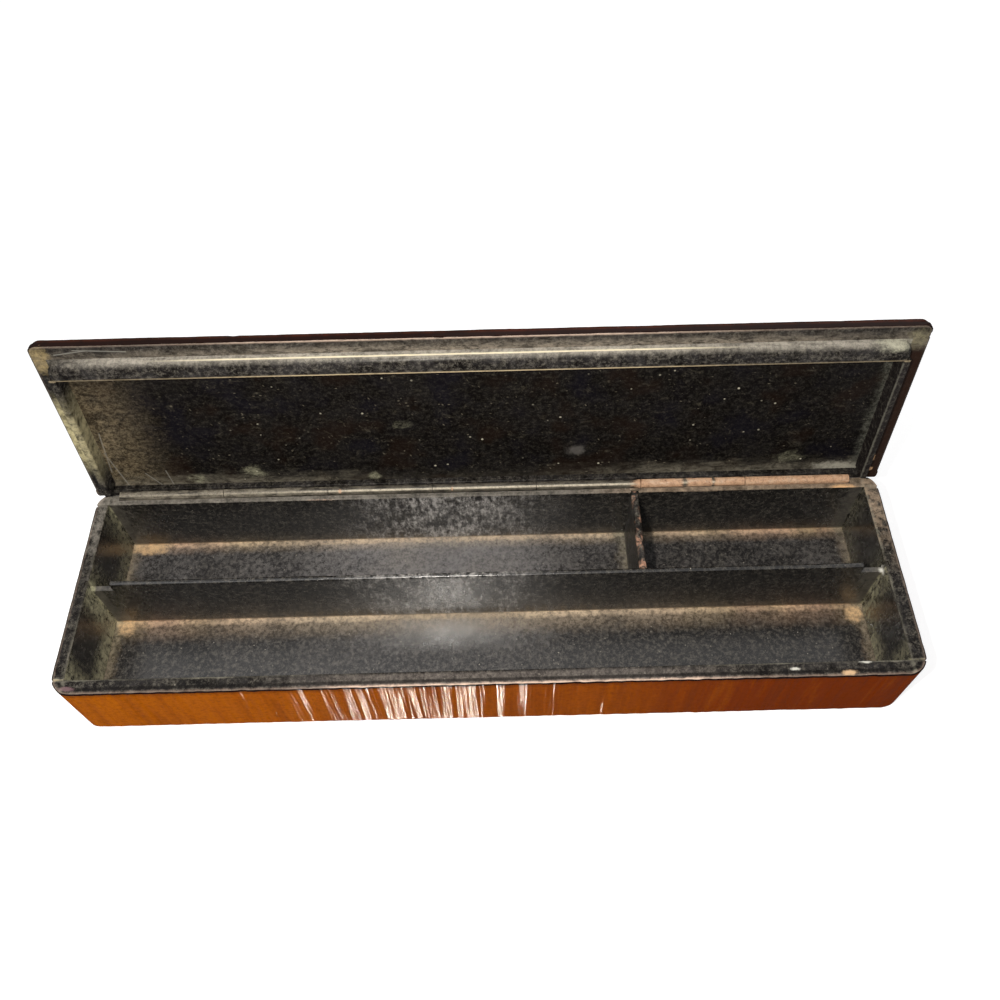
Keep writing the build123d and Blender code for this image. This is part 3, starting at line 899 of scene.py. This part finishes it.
def hinge_finish():
    """Hinge metal: black paint along most of it, rubbed to bare copper-coloured metal at the right, with a
    painted highlight along the barrel's top.
    """
    f = Finish("hinge_metal_worn")
    at = f.place()
    x, y, z = f.parts(at)
    fine = f.noise(at, 1.0, 6, 0.88)
    middling = f.noise(f.stretched(at, 0.35, 1, 1), 1.8, 6, 0.78)
    start = f.plus(x, f.times(f.minus(middling, 0.5), 9.0))
    breaks = f.spots(at, axis_z, fine, (57.0, axis_y, (1.3, 3, 3), 1.0), (65.2, axis_y, (0.8, 3, 3), 1.0))
    bare = f.times(f.step(start, 41.0, 43.5), f.minus(1.0, breaks), f.step(middling, 0.28, 0.40))
    spots = f.spots(
        at, axis_z + 1, fine, (-42.3, axis_y - 1, (0.7, 0.8, 0.8), 1.0),
        (-10.0, axis_y - 1, (0.4, 0.8, 0.8), 1.0))
    bare = f.most(bare, spots)
    # Painted highlight: a thin pale line along the front of the barrel's top, given the same pale colour as
    # the dust
    painted_crest_highlight = f.step(f.size_of(f.minus(y, axis_y - 0.85)), 0.10, 0.38, 1.0, 0.0)
    painted_crest_highlight = f.times(painted_crest_highlight, f.step(z, axis_z, axis_z + 0.3), f.step(x, -70, -30, 0.55, 1.0))
    # The pale marks hold both the dust and the painted highlight
    pale_marks = f.most(
        f.times(f.step(middling, 0.36, 0.56, 0.05, 0.5), f.step(x, -80, -20, 0.8, 0.35)),
        f.times(painted_crest_highlight, f.step(middling, 0.34, 0.52, 0.5, 1.0)))
    pale_marks = f.times(pale_marks, f.step(fine, 0.38, 0.58, 0.5, 1.0))
    paint = f.blend(pale_marks, tone(20, 17, 15), tone(190, 180, 160))
    metal_colour = f.blend(f.step(fine, 0.30, 0.58), metal_shade, bare_metal)
    metal_colour = f.blend(f.step(middling, 0.50, 0.64, 0.0, 0.5), metal_colour, tone(196, 176, 154))
    colour = f.blend(bare, paint, metal_colour)
    roughness = f.between(bare, f.step(middling, 0.4, 0.7, 0.4, 0.6), 0.5)
    return f.finished(colour, roughness, f.plus(fine, middling), 0.00008, Specular_IOR_Level=0.2)


base_black = inner_lacquer()
base_rim_black = rim_lacquer()
amber = amber_outside()
lid_panel_black = panel_black()
lid_rail_black = rail_black()
lid_lip_black = lip_black()
partition_black = partition_top()
mahogany = lid_outside()
hinge_metal = hinge_finish()


def clad(piece, inside, outside, rim_finish):
    """Gives a piece its inside finish, its outside finish near the outline, and a base board its rim's."""
    mesh = piece.data
    for finish in (inside, outside, rim_finish):
        mesh.materials.append(finish)
    centres = np.empty(len(mesh.polygons) * 3)
    mesh.polygons.foreach_get("center", centres)
    centres = centres.reshape(-1, 3) / MM
    is_lid = piece["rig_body"] == "lid"
    if is_lid:
        centres = (centres * MM) @ np.array(closing.to_3x3()).T + np.array(closing.translation)
        centres /= MM
    depth, _ = outline_depth(centres, lid_corner if is_lid else base_corner)
    height = centres[:, 2]
    if is_lid:
        outer = (np.minimum(depth, lid_top - height) < skin_depth) & (height > lid_rim + skin_margin)
        on_rim = np.zeros(len(centres), bool)
    else:
        outer = (depth < skin_depth) & (height < rim - skin_margin)
        on_rim = ~outer & (height > rim - rim_depth)
    mesh.polygons.foreach_set("material_index", (outer + 2 * on_rim).astype(np.int32))


def dress(rows, inside, outside, rim_finish=None):
    """Makes worn pieces that share their finishes and slot. A row holds worn_piece's arguments."""
    for row in rows:
        piece = worn_piece(*row)
        clad(piece, inside, outside, rim_finish or inside)


end_joints = {"south": joint_wear, "north": joint_wear}
rail_wear = {"skin": lid_edge_wear, "under": lid_edge_wear}
end_rail_wear = {**rail_wear, "south": joint_wear}
side_lip_wear = {"under": lid_edge_wear, "east": lid_edge_wear, "west": lid_edge_wear}

dress((
    ("base_front_board", {"skin": skin_wear, "over": rim_wear, "north": inner_wear}, (0.6, 3, 3), 1, 0.06),
    ("base_back_board", {"south": inner_wear, "over": rim_wear}, (0.9, 3, 3), 2, 0.03),
    ("base_left_end", {"skin": skin_wear, "over": rim_wear, "east": inner_wear, **end_joints},
     (3, 0.9, 3), 3, 0.03),
    ("base_right_end", {"skin": skin_wear, "over": rim_wear, "west": inner_wear, **end_joints},
     (3, 0.9, 3), 4, 0.03),
), base_black, amber, base_rim_black)
dress((
    ("base_bottom_board", {}, (4, 4, 4), 5),
    ("long_divider", {"south": inner_wear, "north": inner_wear, "over": divider_wear}, (1.2, 3, 3), 6),
), base_black, amber)
dress((
    ("cross_partition", {"west": partition_wear, "east": partition_wear, "over": partition_wear},
     (3, 0.8, 2), 7),
), partition_black, amber)
dress((
    ("lid_top_board", {"skin": lid_round, "over": lid_round}, (1.5, 1.5, 3), 11, 0.02),
), lid_panel_black, mahogany)
dress((
    ("lid_front_rail", rail_wear, (1.2, 3, 3), 12),
    ("lid_back_rail", {"south": lid_edge_wear, "under": lid_edge_wear}, (1.2, 3, 3), 13),
    ("lid_left_rail", end_rail_wear, (3, 1.2, 3), 14),
    ("lid_right_rail", end_rail_wear, (3, 1.2, 3), 15),
), lid_rail_black, mahogany)
dress((
    ("lid_front_lip", {}, (1.2, 1, 1), 16),
    ("lid_left_lip", side_lip_wear, (1, 1.2, 1), 17),
    ("lid_right_lip", side_lip_wear, (1, 1.2, 1), 18),
), lid_lip_black, mahogany)

for node in ("hinge_base_leaf", "hinge_lid_leaf", "hinge_pin", "base_leaf_pins", "lid_leaf_pins"):
    mesh = frame["nodes"][node].data
    mesh.materials.clear()
    mesh.materials.append(hinge_metal)

# Camera: its place is in millimetres, and centre_pixel is the pixel on its axis
focal_share = 0.97722
frame_pixels = 1000
sensor = 36.0
camera_place = Vector((5.53, -118.28, 269.40)) * MM
camera_dip = math.radians(53.52)
camera_roll = math.radians(-1.40)
centre_pixel = (503.93, 395.73)
nearest_seen = 0.01

camera_data = bpy.data.cameras.new("camera")
camera = bpy.data.objects.new("camera", camera_data)
bpy.context.scene.collection.objects.link(camera)
camera_data.sensor_width = sensor
camera_data.lens = focal_share * sensor
camera_data.shift_x = -(centre_pixel[0] / frame_pixels - 0.5)
camera_data.shift_y = centre_pixel[1] / frame_pixels - 0.5
camera_data.clip_start = nearest_seen
turned = Matrix.Rotation(math.pi / 2 - camera_dip, 4, "X") @ Matrix.Rotation(camera_roll, 4, "Z")
camera.matrix_world = Matrix.Translation(camera_place) @ turned
bpy.context.scene.camera = camera

# Floor: its greys, how strongly it glows, and its side and drop below the foot in metres
white = (1, 1, 1, 1)
floor_grey = (0.85, 0.85, 0.85, 1)
floor_grey_seen = (0.45, 0.45, 0.45, 1)
seen_glow = 0.75
mirrored_glow = 0.1
floor_side = 6.0
floor_drop = 0.0001


def floor_finish():
    """A pale floor that glows white to the camera, and a little where it is mirrored."""
    f = Finish("pale_floor")
    seen, mirrored = f.rays()
    plain = f.add("BsdfDiffuse", {"Color": f.blend(seen, floor_grey, floor_grey_seen)})
    strength = f.plus(f.times(seen, seen_glow), f.times(mirrored, mirrored_glow))
    glow = f.add("Emission", {"Color": white, "Strength": strength})
    both = f.add("AddShader", {0: plain.outputs[0], 1: glow.outputs[0]})
    f.add("OutputMaterial", {0: both.outputs[0]})
    return f.material


def ground():
    """The floor under the box. It takes the box's shadow and casts none itself."""
    mesh = bpy.data.meshes.new("ground")
    half = floor_side / 2
    mesh.from_pydata(
        [(-half, -half, 0), (half, -half, 0), (half, half, 0), (-half, half, 0)], [], [(0, 1, 2, 3)])
    piece = bpy.data.objects.new("ground", mesh)
    bpy.context.scene.collection.objects.link(piece)
    mesh.materials.append(floor_finish())
    piece.location.z = foot * MM - floor_drop
    piece.visible_shadow = False


def lamp(name, place, target, size, power, colour=(1, 1, 1)):
    """A round lamp that shines from its place towards a target, in metres and watts."""
    data = bpy.data.lights.new(name, "AREA")
    data.shape = "DISK"
    data.size = size
    data.energy = power
    data.color = colour
    lamp_object = bpy.data.objects.new(name, data)
    bpy.context.scene.collection.objects.link(lamp_object)
    lamp_object.location = place
    lamp_object.rotation_euler = (Vector(target) - Vector(place)).to_track_quat("-Z", "Y").to_euler()
    return lamp_object


ground()

# A small warm lamp beside the camera, and a lamp that only gloss shows, near its mirror image in the floor
key_offset = Vector((-0.036, 0.0, 0.010))
glint_shift = -0.014
key_place = camera_place + key_offset
lamp("key", key_place, (0, 0, 0.02), size=0.010, power=0.88, colour=(1.0, 0.95, 0.88))
glint_place = Vector((key_place.x + glint_shift, key_place.y, 2 * foot * MM - key_place.z))
glint = lamp(
    "key_seen_in_floor", glint_place, (0, 0, 0.01), size=0.042, power=6.4, colour=(1.0, 0.92, 0.76))
glint.visible_diffuse = False
lamp("soft_box", (-0.25, -0.1, 0.9), (0, 0, 0), size=0.8, power=2.6)
lamp("soft_back", (0.3, 0.8, 0.7), (0, 0, 0), size=0.8, power=1.8)

# The world: white to the camera and where it is mirrored, and a dim fill for all other rays
fill_level = 0.3
world = bpy.data.worlds.new("world")
bpy.context.scene.world = world
world.use_nodes = True
sky = Nodes(world.node_tree)
background = sky.tree.nodes["Background"]
background.inputs["Color"].default_value = white
seen, mirrored = sky.rays()
strength = sky.between(sky.math("MAXIMUM", seen, mirrored, clamp=True), fill_level, 1.0)
sky.tree.links.new(strength, background.inputs["Strength"])

bpy.context.scene.view_settings.view_transform = "Standard"
